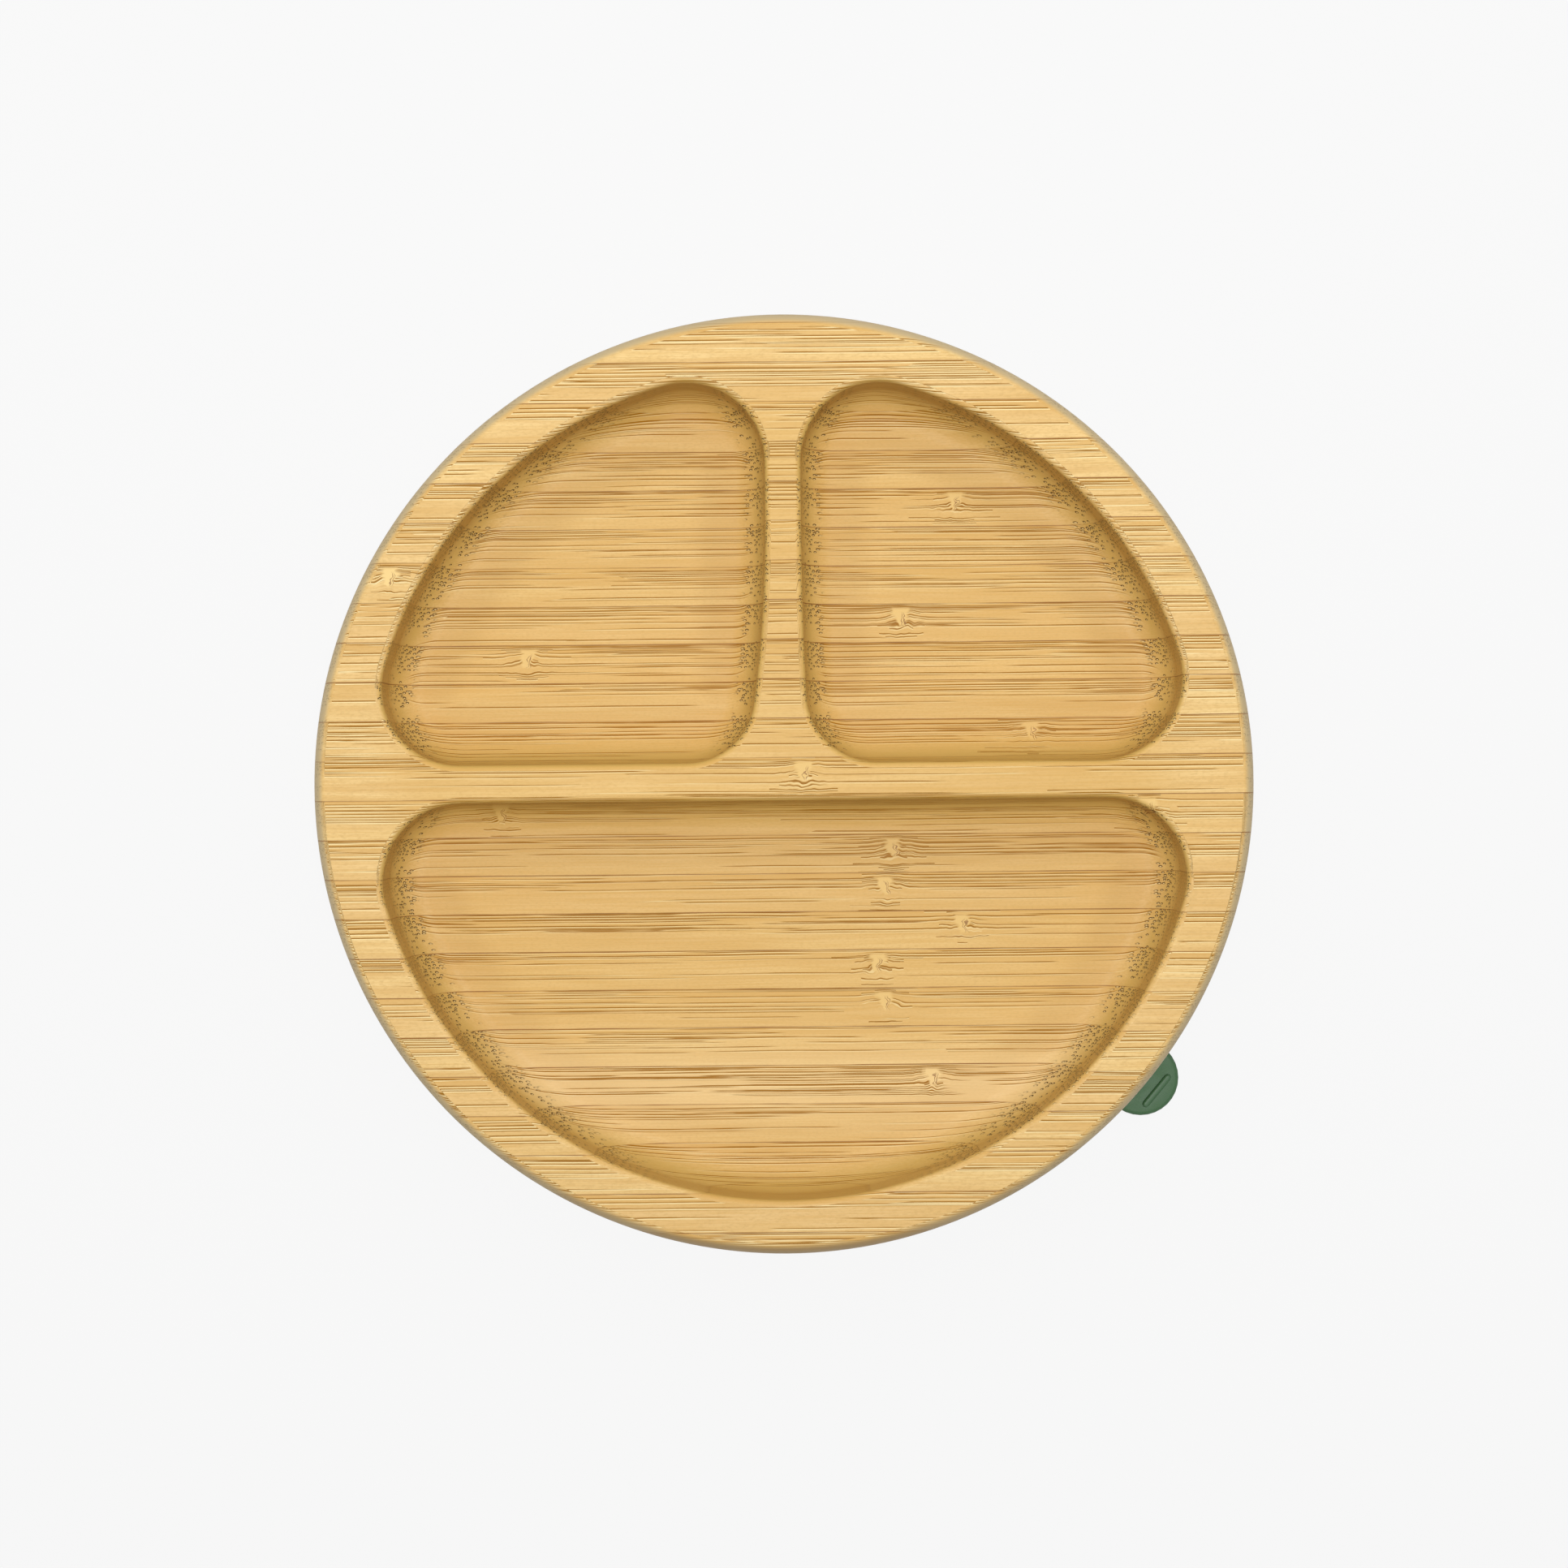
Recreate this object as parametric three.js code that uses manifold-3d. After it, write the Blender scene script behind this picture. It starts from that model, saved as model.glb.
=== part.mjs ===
// A round three-compartment plate, edge-glued from bamboo strips, on a removable silicone suction ring.
// Millimetres, +Z up. The origin is on the table, under the centre of the plate.

import * as THREE from 'three';
import { mergeVertices } from 'three/addons/utils/BufferGeometryUtils.js';
import Module from 'manifold-3d';

const wasm = await Module();
wasm.setup();

// Plate
const plateDiameter = 180;
const plateThickness = 18;
const topEdgeReach = 2.9;
const topEdgeDrop = 6;
const bottomEdgeRadius = 11;
const sideBand = 1;

// Compartments, and the cross of dividers between them
const rimWidth = 11;
const longDividerWidth = 7.3;
const shortDividerWidth = 6.9;
const crossX = 0.3;
const crossY = 0.47;
const pocketDepth = 13;
const pocketCornerRadius = 15;
const floorFillet = 6;
const lipChamfer = 1.2;

// The two upper compartments differ in their low corners, near the divider and far from it, and in how far
// the wall along the divider leans at its low end. The lean begins at a share of that wall's height.
const upperLeft = { side: -1, nearRadius: 13, farRadius: 14.6, lean: THREE.MathUtils.degToRad(8) };
const upperRight = { side: 1, nearRadius: 13.2, farRadius: 15.6, lean: THREE.MathUtils.degToRad(2.5) };
const leanShare = 0.75;

// Bamboo strips: how many widths fill the diameter, which third of a strip the centre line ends, and the glue
const stripsAcross = 24;
const centreThird = 1;
const glueLine = 0.05;

// Turned boss under the plate
const bossRadius = 50;
const bossHeight = 6;
const bossChamfer = 0.8;

// Silicone suction ring
const chamberHeight = 3;
const pressTravel = 2;
const siliconeFit = 0.3;
const collarWidth = 11.7;
const collarFlange = 3;
const collarWall = 2.8;
const collarLift = 0.9;
const collarRounding = 1;
const skirtWall = 2.2;
const skirtFlare = 4.4;
const skirtRounding = 0.8;
const skirtLip = 0.9;
const footWidth = 3.4;

// Pull tab
const tabAngle = THREE.MathUtils.degToRad(-40);
const tabReach = 10.3;
const tabTipRadius = 7.6;
const tabRootHalfWidth = 10;
const tabThickness = 2.5;
const tabEdge = 0.5;
const tabLift = 0.75;
const gripLength = 8.3;
const gripRadius = 0.7;
const gripInset = 3.6;

// Colours and finish
const bambooTones = [0xe2b97c, 0xd9ac6b, 0xe6c287, 0xdcb172];
const bambooRoughness = 0.55;
const siliconeColour = 0x4a7352;
const siliconeRoughness = 0.6;

// Fineness of the facets, and how near two vertices are to be one
const chordSag = 0.12;
const filletSteps = 4;
const edgeSteps = 2;
const quadrants = 4;
const weldDistance = 1e-4;

// Levels above the table, and radii that follow from the sizes above
const plateRadius = plateDiameter / 2;
const stripWidth = plateDiameter / stripsAcross;
const jointOffset = -centreThird * stripWidth / 3;
const pocketRadius = plateRadius - rimWidth;
const bossBottom = chamberHeight;
const plateUnderside = bossBottom + bossHeight;
const plateTop = plateUnderside + plateThickness;
const pocketFloor = plateTop - pocketDepth;
const collarInner = bossRadius + siliconeFit;
const collarOuter = collarInner + collarWidth;
const collarTop = plateUnderside - siliconeFit;
const collarBottom = pressTravel + collarLift;
const skirtInner = collarOuter + siliconeFit;
const skirtOuter = skirtInner + skirtWall;
const skirtTop = collarTop - pressTravel - siliconeFit;
const footRadius = skirtOuter + skirtFlare;
const hingeRadius = footRadius + tabThickness / 2 + siliconeFit;
const hingeHeight = tabLift + tabThickness / 2;

// Points along an arc, close enough together that no chord strays from it by more than chordSag. The arc is
// part of an ellipse where its height differs from its radius.
function arcPoints(x, y, radius, from, to, height = radius) {
  const step = 2 * Math.acos(1 - Math.min(chordSag / Math.max(radius, height), 1));
  const count = Math.max(2, Math.ceil(Math.abs(to - from) / step));
  return new THREE.EllipseCurve(x, y, radius, height, from, to, to < from).getPoints(count);
}

// A closed solid from a geometry: shared vertices become one, and triangles without area are dropped.
function solidOf(geometry) {
  const bare = new THREE.BufferGeometry();
  bare.setAttribute('position', geometry.getAttribute('position'));
  bare.setIndex(geometry.getIndex());
  const welded = mergeVertices(bare, weldDistance);
  const corners = welded.getIndex().array;
  const triangles = [];
  for (let first = 0; first < corners.length; first += 3) {
    const [a, b, c] = corners.slice(first, first + 3);
    if (a !== b && b !== c && c !== a) triangles.push(a, b, c);
  }
  return new wasm.Manifold(new wasm.Mesh({
    numProp: 3,
    vertProperties: new Float32Array(welded.getAttribute('position').array),
    triVerts: new Uint32Array(triangles),
  }));
}

function geometryOf(solid) {
  const { vertProperties, triVerts } = solid.getMesh();
  const geometry = new THREE.BufferGeometry();
  geometry.setAttribute('position', new THREE.BufferAttribute(vertProperties, 3));
  geometry.setIndex(new THREE.BufferAttribute(triVerts, 1));
  geometry.computeVertexNormals();
  return geometry;
}

// A body of revolution about Z from a profile of (radius, height) points that runs upward on its outer side.
function turned(profile) {
  const widest = Math.max(...profile.map((point) => point.x));
  const fullTurn = Math.PI / Math.acos(1 - chordSag / widest);
  const segments = quadrants * Math.ceil(fullTurn / quadrants);
  return new THREE.LatheGeometry(profile, segments).rotateX(Math.PI / 2);
}

function point(radius, height) {
  return new THREE.Vector2(radius, height);
}

// The plate's blank: the boss, the flat underside, the rounded outer edge and the flat top.
function plateBlank() {
  const topEdge = Math.min(topEdgeDrop, plateThickness / 2);
  const bottomEdge = Math.min(bottomEdgeRadius, plateThickness - topEdge - sideBand);
  return solidOf(turned([
    point(0, bossBottom),
    point(bossRadius - bossChamfer, bossBottom),
    point(bossRadius, bossBottom + bossChamfer),
    point(bossRadius, plateUnderside),
    ...arcPoints(plateRadius - bottomEdge, plateUnderside + bottomEdge, bottomEdge, -Math.PI / 2, 0),
    ...arcPoints(plateRadius - topEdgeReach, plateTop - topEdge, topEdgeReach, 0, Math.PI / 2, topEdge),
    point(0, plateTop),
  ]));
}

// How far along a wall a corner's centre lies, when it stands off the wall's line by the given distance from
// the plate's centre and its arc runs into the rim's.
function cornerReach(standoff, radius) {
  return Math.sqrt((pocketRadius - radius) ** 2 - standoff ** 2);
}

// Outline of one of the two upper compartments. Side is 1 on the right and -1 on the left.
function quarterOutline({ side, nearRadius, farRadius, lean }) {
  const wallX = shortDividerWidth / 2 + side * crossX;
  const wallY = longDividerWidth / 2 + crossY;
  const topX = wallX + pocketCornerRadius;
  const topY = cornerReach(topX, pocketCornerRadius);
  const farY = wallY + farRadius;
  const farX = cornerReach(farY, farRadius);
  const nearY = wallY + nearRadius;
  const leanHeight = leanShare * (topY - nearY);
  const bowOffset = leanHeight / Math.sin(lean);
  const bowRadius = nearRadius + bowOffset;
  const nearX = wallX + bowRadius - bowOffset * Math.cos(lean);
  const lowAngle = Math.atan2(farY, farX);
  const highAngle = Math.atan2(topY, topX);
  const points = [
    ...arcPoints(wallX + bowRadius, nearY + leanHeight, bowRadius, Math.PI, Math.PI + lean).slice(0, -1),
    ...arcPoints(nearX, nearY, nearRadius, Math.PI + lean, 1.5 * Math.PI),
    ...arcPoints(farX, farY, farRadius, -Math.PI / 2, lowAngle),
    ...arcPoints(0, 0, pocketRadius, lowAngle, highAngle).slice(1, -1),
    ...arcPoints(topX, topY, pocketCornerRadius, highAngle, Math.PI),
  ];
  return points.map((corner) => point(side * corner.x, corner.y));
}

// Outline of the lower compartment, a half moon.
function halfOutline() {
  const nearY = crossY - longDividerWidth / 2 - pocketCornerRadius;
  const farX = cornerReach(nearY, pocketCornerRadius);
  const rightAngle = Math.atan2(nearY, farX);
  const leftAngle = -Math.PI - rightAngle;
  return [
    ...arcPoints(farX, nearY, pocketCornerRadius, Math.PI / 2, rightAngle),
    ...arcPoints(0, 0, pocketRadius, rightAngle, leftAngle).slice(1, -1),
    ...arcPoints(-farX, nearY, pocketCornerRadius, leftAngle, -1.5 * Math.PI),
  ];
}

// What the cutter takes out for one compartment: straight walls, a filleted floor and an eased lip.
function pocketCutter(outline) {
  const shape = new THREE.Shape(outline);
  const hollow = new THREE.ExtrudeGeometry(shape, {
    depth: pocketDepth,
    bevelThickness: floorFillet,
    bevelSize: floorFillet,
    bevelOffset: -floorFillet,
    bevelSegments: filletSteps,
  }).translate(0, 0, pocketFloor + floorFillet);
  const lip = new THREE.ExtrudeGeometry(shape, {
    depth: lipChamfer,
    bevelThickness: lipChamfer,
    bevelSize: lipChamfer,
    bevelSegments: 1,
  }).translate(0, 0, plateTop);
  return solidOf(hollow).add(solidOf(lip));
}

// The finished plate before it is divided at the glue lines.
function plateSolid() {
  const outlines = [quarterOutline(upperLeft), quarterOutline(upperRight), halfOutline()];
  return outlines.reduce((solid, outline) => solid.subtract(pocketCutter(outline)), plateBlank());
}

// Where the glue lines lie across the plate, with the two outer edges first and last.
function jointPositions() {
  const joints = [];
  const first = Math.floor((-plateRadius - jointOffset) / stripWidth) + 1;
  for (let y = jointOffset + first * stripWidth; y < plateRadius; y += stripWidth) joints.push(y);
  const outside = plateRadius + glueLine / 2;
  return [-outside, ...joints, outside];
}

function bamboo(index) {
  const color = bambooTones[index % bambooTones.length];
  return new THREE.MeshStandardMaterial({ color, roughness: bambooRoughness, metalness: 0 });
}

// The plate's strips, from its front edge to its back edge.
function bambooStrips() {
  const plate = plateSolid();
  const joints = jointPositions();
  const strips = new THREE.Group();
  for (let index = 1; index < joints.length; index += 1) {
    const width = joints[index] - joints[index - 1] - glueLine;
    const middle = (joints[index] + joints[index - 1]) / 2;
    const slab = new THREE.BoxGeometry(2 * plateDiameter, width, plateTop + plateThickness)
      .translate(0, middle, plateTop / 2);
    const strip = new THREE.Mesh(geometryOf(plate.intersect(solidOf(slab))), bamboo(index));
    strip.name = `bamboo_strip_${String(index).padStart(2, '0')}`;
    strips.add(strip);
  }
  return strips;
}

function silicone() {
  return new THREE.MeshStandardMaterial({
    color: siliconeColour,
    roughness: siliconeRoughness,
    metalness: 0,
  });
}

// The part of the ring that grips the boss: a flange under the plate and a wall that hangs from its edge.
function suctionCollar() {
  const profile = [
    point(collarInner, collarTop - collarFlange),
    point(collarOuter - collarWall, collarTop - collarFlange),
    point(collarOuter - collarWall, collarBottom),
    point(collarOuter, collarBottom),
    ...arcPoints(collarOuter - collarRounding, collarTop - collarRounding, collarRounding, 0, Math.PI / 2),
    point(collarInner, collarTop),
    point(collarInner, collarTop - collarFlange),
  ];
  const collar = new THREE.Mesh(geometryOf(solidOf(turned(profile))), silicone());
  collar.name = 'suction_collar';
  return collar;
}

// The flared skirt round the collar. Its flat foot stands on the table.
function suctionSkirt() {
  const shoulder = skirtTop - skirtRounding;
  const innerEdge = point(skirtInner, skirtLip + skirtWall / 2);
  const flare = new THREE.QuadraticBezierCurve(
    point(footRadius, skirtLip),
    point(skirtOuter, skirtLip + skirtWall),
    point(skirtOuter, shoulder),
  );
  const profile = [
    innerEdge,
    point(footRadius - footWidth, 0),
    point(footRadius - skirtLip / 2, 0),
    ...arcPoints(footRadius - skirtLip / 2, skirtLip / 2, skirtLip / 2, -Math.PI / 2, 0).slice(1),
    ...flare.getPoints(filletSteps),
    ...arcPoints(skirtOuter - skirtRounding, shoulder, skirtRounding, 0, Math.PI / 2).slice(1),
    point(skirtInner, skirtTop),
    innerEdge,
  ];
  const skirt = new THREE.Mesh(geometryOf(solidOf(turned(profile))), silicone());
  skirt.name = 'suction_skirt';
  return skirt;
}

// The tab, with its root on the bending line and its tip along +X of its own group.
function pullTab() {
  const tipX = plateRadius + tabReach - tabTipRadius - hingeRadius;
  const tangent = Math.atan2(tipX, tabRootHalfWidth)
    + Math.asin(tabTipRadius / Math.hypot(tipX, tabRootHalfWidth));
  const outline = new THREE.Shape([
    point(0, tabRootHalfWidth),
    point(0, -tabRootHalfWidth),
    ...arcPoints(tipX, 0, tabTipRadius, -tangent, tangent),
  ]);
  const blade = new THREE.ExtrudeGeometry(outline, {
    depth: tabThickness - 2 * tabEdge,
    bevelThickness: tabEdge,
    bevelSize: tabEdge,
    bevelOffset: -tabEdge,
    bevelSegments: edgeSteps,
  }).translate(0, 0, tabEdge - tabThickness / 2);
  const root = new THREE.CylinderGeometry(
    tabThickness / 2, tabThickness / 2, 2 * (tabRootHalfWidth - tabEdge), quadrants * filletSteps,
  );
  const grip = new THREE.CapsuleGeometry(
    gripRadius, gripLength - 2 * gripRadius, filletSteps, quadrants * edgeSteps,
  ).translate(tipX + tabTipRadius - gripInset, 0, tabThickness / 2);
  const tab = new THREE.Mesh(geometryOf(solidOf(blade).add(solidOf(root)).add(solidOf(grip))), silicone());
  tab.name = 'pull_tab';
  const turn = new THREE.Group();
  turn.position.set(hingeRadius * Math.cos(tabAngle), hingeRadius * Math.sin(tabAngle), hingeHeight);
  turn.rotation.z = tabAngle;
  turn.add(tab);
  return turn;
}

const suctionPlate = new THREE.Group();
suctionPlate.add(bambooStrips(), suctionCollar(), suctionSkirt(), pullTab());

export default suctionPlate;
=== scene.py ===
"""Looks of a three-compartment bamboo plate on a silicone suction ring, in metres, from its CAD frame."""

import math
import random

import bmesh
import bpy
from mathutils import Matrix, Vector


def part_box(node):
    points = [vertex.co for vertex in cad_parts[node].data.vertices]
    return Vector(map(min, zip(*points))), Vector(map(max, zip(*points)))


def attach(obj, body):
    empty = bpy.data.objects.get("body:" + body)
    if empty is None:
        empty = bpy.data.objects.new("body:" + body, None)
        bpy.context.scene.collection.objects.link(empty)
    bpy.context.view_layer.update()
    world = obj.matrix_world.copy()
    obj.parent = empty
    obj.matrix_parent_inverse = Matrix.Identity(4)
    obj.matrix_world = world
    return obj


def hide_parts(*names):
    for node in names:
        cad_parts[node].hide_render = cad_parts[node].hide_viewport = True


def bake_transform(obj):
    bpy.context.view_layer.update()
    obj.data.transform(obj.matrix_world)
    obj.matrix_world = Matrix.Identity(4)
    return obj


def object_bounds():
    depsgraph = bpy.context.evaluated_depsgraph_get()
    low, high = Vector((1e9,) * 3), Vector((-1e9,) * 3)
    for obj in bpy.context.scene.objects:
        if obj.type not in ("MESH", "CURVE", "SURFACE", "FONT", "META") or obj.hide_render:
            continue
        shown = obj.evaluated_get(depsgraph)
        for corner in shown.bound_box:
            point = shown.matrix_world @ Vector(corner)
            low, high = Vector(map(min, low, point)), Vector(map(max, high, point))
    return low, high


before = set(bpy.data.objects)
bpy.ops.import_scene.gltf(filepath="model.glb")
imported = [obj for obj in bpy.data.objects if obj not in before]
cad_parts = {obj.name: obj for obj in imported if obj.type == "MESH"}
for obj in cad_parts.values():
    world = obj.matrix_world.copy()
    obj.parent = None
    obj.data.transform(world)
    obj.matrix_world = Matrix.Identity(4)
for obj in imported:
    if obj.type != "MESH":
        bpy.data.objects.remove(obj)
cad_low, cad_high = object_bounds()

MM = 0.001

# How far the suction ring's collar reaches out from the boss that carries it
COLLAR_WIDTH = 12 * MM

# Sizes that the frame gives
strip_names = sorted(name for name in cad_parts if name.startswith("bamboo_strip"))
strip_boxes = [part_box(name) for name in strip_names]
strip_width = max(high.y - low.y for low, high in strip_boxes)
glue = strip_boxes[1][0].y - strip_boxes[0][1].y
plate_radius = cad_high.x
plate_top = cad_high.z
boss_bottom = min(low.z for low, high in strip_boxes)
plate_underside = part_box("bamboo_strip_03")[0].z
collar_low, collar_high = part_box("suction_collar")
collar_top = collar_high.z
collar_bottom = collar_low.z
collar_radius = collar_high.x
boss_radius = collar_radius - COLLAR_WIDTH
skirt_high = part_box("suction_skirt")[1]
skirt_radius = skirt_high.x
skirt_top = skirt_high.z

# Compartments and edges of the plate
RIM_WIDTH = 11 * MM
LONG_DIVIDER = 7.3 * MM
SHORT_DIVIDER = 6.9 * MM
CROSS_X = 0.3 * MM
CROSS_Y = 0.47 * MM
POCKET_DEPTH = 13 * MM
POCKET_CORNER = 15 * MM
FLOOR_FILLET = 6 * MM
LIP_ROUND = 1.2 * MM
TOP_REACH = 2.9 * MM
TOP_DROP = 6 * MM
BOTTOM_EDGE = 11 * MM
BOSS_EDGE = 0.8 * MM
BOSS_ROOT = 0.25 * MM
UPPER_LEFT = {"side": -1, "near_radius": 13 * MM, "far_radius": 14.6 * MM, "lean": math.radians(8)}
UPPER_RIGHT = {"side": 1, "near_radius": 13.2 * MM, "far_radius": 15.6 * MM, "lean": math.radians(2.5)}
LEAN_SHARE = 0.75
pocket_radius = plate_radius - RIM_WIDTH
pocket_floor = plate_top - POCKET_DEPTH

# Suction ring and pull tab
SILICONE_FIT = 0.3 * MM
COLLAR_FLANGE = 3 * MM
COLLAR_WALL = 2.8 * MM
COLLAR_ROUND = 1 * MM
COLLAR_FOOT_EASE = 0.8 * MM
COLLAR_INNER_EASE = 0.6 * MM
FLANGE_EASE = 0.4 * MM
COLLAR_TOP_EASE = 0.3 * MM
SKIRT_WALL = 2.2 * MM
SKIRT_ROUND = 0.8 * MM
SKIRT_LIP = 0.9 * MM
FOOT_WIDTH = 3.4 * MM
TAB_ANGLE = math.radians(-40)
TAB_REACH = 10.3 * MM
TAB_TIP = 7.6 * MM
TAB_ROOT = 10 * MM
TAB_THICKNESS = 2.5 * MM
TAB_LIFT = 0.75 * MM
TAB_EDGE = 0.9 * MM
TAB_OVERLAP = 2 * MM
BEND_CUTS = 11
BEND_STEP = 0.8 * MM
GRIP_LENGTH = 8.3 * MM
GRIP_WIDTH = 1.4 * MM
GRIP_INSET = 3.6 * MM
GRIP_SINK = 0.5 * MM
GRIP_RISE = 0.65 * MM
GRIP_EDGE = 0.5 * MM

# Fineness of the meshes
TURN_STEPS = 240
ARC_STEP = 1.5 * MM
ARC_FEWEST = 4
EDGE_STEPS = 6
FILLET_STEPS = 10
SAME_POINT = 0.01 * MM
SAME_PLANE = 0.005 * MM
FACING_CUT = 0.999
CUT_TOLERANCE = 1e-8
SHARP_EDGE = math.radians(35)
SHARP_TAB_EDGE = math.radians(50)

# The photograph's frame, and where its camera stood
PHOTO_SIZE = 1932
FOCAL_PIXELS = 2679
SENSOR = 36
CAMERA_ABOVE_TOP = 412 * MM
CAMERA_ROLL = math.radians(-0.55)
CAMERA_NEAREST = 1 * MM

# Floor and light: the floor's glow lifts it to the background's tone, and the lamp is aimed behind the plate
FLOOR_HALF = 6.0
FLOOR_GLOW = 1.07
FLOOR_GLOW_SHARE = 0.85
SURROUND_LIGHT = 0.45
LIGHT_FROM_BEHIND = 1.0
LAMP_PLACE = (0.0, 0.03, 1.0)
LAMP_AIM = (0.0, 1.0, 0.0)
LAMP_SIZE = 0.34
LAMP_WATTS = 9.3

# Knots of the bamboo: the strip's number, the place along it in millimetres, and the grain's swerve there.
# The sign is the way that the knot's heart leans.
KNOTS = (
    (5, 28.7, 1.1), (7, 19.4, 1.2), (8, 17.9, -0.9), (9, 34.6, 0.6), (10, 19.6, 1.1), (11, 21.3, 1.2),
    (12, -55.1, -0.9), (12, 69.2, 0.9), (13, 3.7, -1.0), (14, 48.5, 0.8), (16, -50.0, -1.2), (17, 23.2, 1.0),
    (18, -74.4, -1.1), (20, 33.8, -0.9),
)


def srgb(red, green, blue):
    """A linear colour from the red, green and blue that a picture shows, each up to 255."""
    def linear(value):
        share = value / 255
        return share / 12.92 if share <= 0.04045 else ((share + 0.055) / 1.055) ** 2.4
    return linear(red), linear(green), linear(blue), 1.0


def blended(first, second, share):
    """A colour between two others."""
    return [a + (b - a) * share for a, b in zip(first, second)]


# Colours of the bamboo
HONEY = srgb(243, 208, 140)
ROSE = srgb(237, 198, 134)
PALE = srgb(246, 214, 148)
CLOUD = srgb(228, 188, 120)
FIBRE = srgb(216, 169, 90)
BACK_EDGE = srgb(212, 161, 78)
SPECKLE = srgb(206, 166, 98)
KNOT_HEART = srgb(246, 212, 140)
# Pale tissue of the fibre bundles, partly a painted highlight on the lit side of grooves and pits
BUNDLE_PALE_AND_HIGHLIGHT = srgb(255, 236, 178)
# Painted shade in and between the compartments
INNER_SHADE = srgb(214, 167, 82)
# Painted shade on the compartments' steep walls and fillets
STEEP_SHADE = srgb(202, 167, 88)
OUTER_EDGE = srgb(200, 179, 136)
# Painted shade of the front strips: their outer edge, and their tone
FRONT_EDGE_SHADE = srgb(168, 138, 92)
FRONT_SHADE = srgb(196, 156, 96)
# Painted shade on the floors near the walls
NEAR_WALL_SHADE = srgb(190, 150, 80)
LINE_BROWN = srgb(160, 106, 0)
# Painted light on a stretch of the lower compartment's floor
PAINTED_FLOOR_LIGHT = srgb(255, 228, 176)
PIT_BROWN = srgb(70, 42, 8)
MARK_BROWN = srgb(140, 92, 44)
SEAM_BROWN = srgb(146, 96, 46)

# Every third strip tends to the pale tone and the others to the rose one
PALE_EVERY = 3

# How far painted shade darkens the front strips, from the first strip on, as the light falls from behind
FRONT_SHADE_SHARES = (0.8, 0.4, 0.2)
FRONT_SHADE_SHARE = 0.3

# Colours of the silicone
GREEN = srgb(54, 91, 55)
GREEN_BLOOM = srgb(66, 101, 65)
GREEN_GRAIN = srgb(44, 77, 46)

# Colours of the floor and of what lies behind it
FLOOR_GREY = srgb(200, 200, 200)
BACKGROUND = srgb(248, 248, 248)

# Fibre bundles, in millimetres: how far apart they lie, and how long their cells are along the strip
COARSE_SPACING = 0.8
COARSE_REACH = 62.0
FINE_SPACING = 0.38
FINE_REACH = 42.0
FINE_SHIFT = 17.0
END_SPACING = 0.6

# Shares of the bundles that are there, at a strip's front and at its back. A pair is a range to draw from.
COARSE_FRONT = 0.12
COARSE_BACK = (0.55, 0.85)
FINE_FRONT = 0.04
FINE_BACK = (0.35, 0.65)
END_FRONT = 0.25
END_BACK = 1.0
MORE_AT_KNOTS = 0.25
DENSITY_RISE = (0.1, 0.95)

# A bundle cut lengthways, in millimetres: where its two dark lines and its pale one lie, and half their
# width. The pale line lies just in front of the back line, partly as a painted highlight on the lit edge of
# the groove.
BACK_LINE = 0.1
FRONT_LINE = -0.32
PALE_LINE = -0.11
LINE_WIDTH = 0.15

# The same, as shares: a line's core, a bundle's half length, its fading end, and how its lines show
LINE_CORE = 0.4
SHORTEST_HALF = 0.3
HALF_LENGTH_SPREAD = 0.45
LINE_END = (0.8, 1.0)
FRONT_LINE_CHANCE = (0.6, 0.9)
FRONT_LINE_SHARE = 0.7
FINE_LINE_SHARE = 0.8
LINE_STRENGTH = (0.75, 1.0)
LINE_COLOUR_SHARE = 1.33
FAINT_SHARE = 0.5
EDGE_WITHOUT_LINES = 0.8
PALE_SHARE = 0.8

# How lines go on up the walls, and the faces that they fade on: end faces, and steep ones
CLIMB = 0.8
EITHER_SIDE = (-0.05, 0.05)
LINES_END_ON = (0.3, 0.65)
LINES_UPWARD = (0.1, 0.7)
STEEP_LINE_SHARE = 0.4

# A bundle cut across, as shares of the spacing and of its radius: a dark dot, and the pale eye in it, moved
# towards the front as a painted highlight on the pit's lit side
DOT_LEAST = 0.29
DOT_SPREAD = 0.12
DOT_EDGE = (0.75, 1.1)
EYE_FORWARD = 0.25
EYE_EDGE = (0.35, 0.7)

# The faces that dots show on: ends that are cut aslant more than straight ones, and inside more than outside
DOTS_END_ON = (0.22, 0.5)
STRAIGHT_END = (0.8, 0.97)
STRAIGHT_DOT_SHARE = 0.4
OUTER_DOT_SHARE = 0.35

# A knot, in millimetres: its reach along the strip, its ragged pale heart, the grain's ripples, and its marks
KNOT_REACH = 4.5
SWERVE_REACH = 3.2
HEART_EDGE = (1.0, 2.3)
RAGGED_ALONG = 1.6
RAGGED_ACROSS = 1.1
RAGGEDNESS = 2.2
RIPPLE_ALONG = 2.4
RIPPLE_ACROSS = 2.6
RIPPLE_HEIGHT = 1.6
MARK_SHIFT = 0.45
MARK_APART = 0.22
MARK_WIDTH = 0.12

# A knot, as shares of the strip's width: where its heart and marks lie, and where the swerve turns over
HEART_MIDDLE = 0.66
HEART_ENDS = (0.18, 0.3)
HEART_TAPER = (0.4, 0.85)
HEART_NARROWEST = 0.35
HEART_SHARE = 0.9
MARK_MIDDLE = 0.6
MARK_HALF_LENGTH = 0.22
MARK_SHARE = 0.8
SWERVE_TURN = (0.1, 0.8)
SWERVE_IN_FRONT = -0.4

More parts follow.
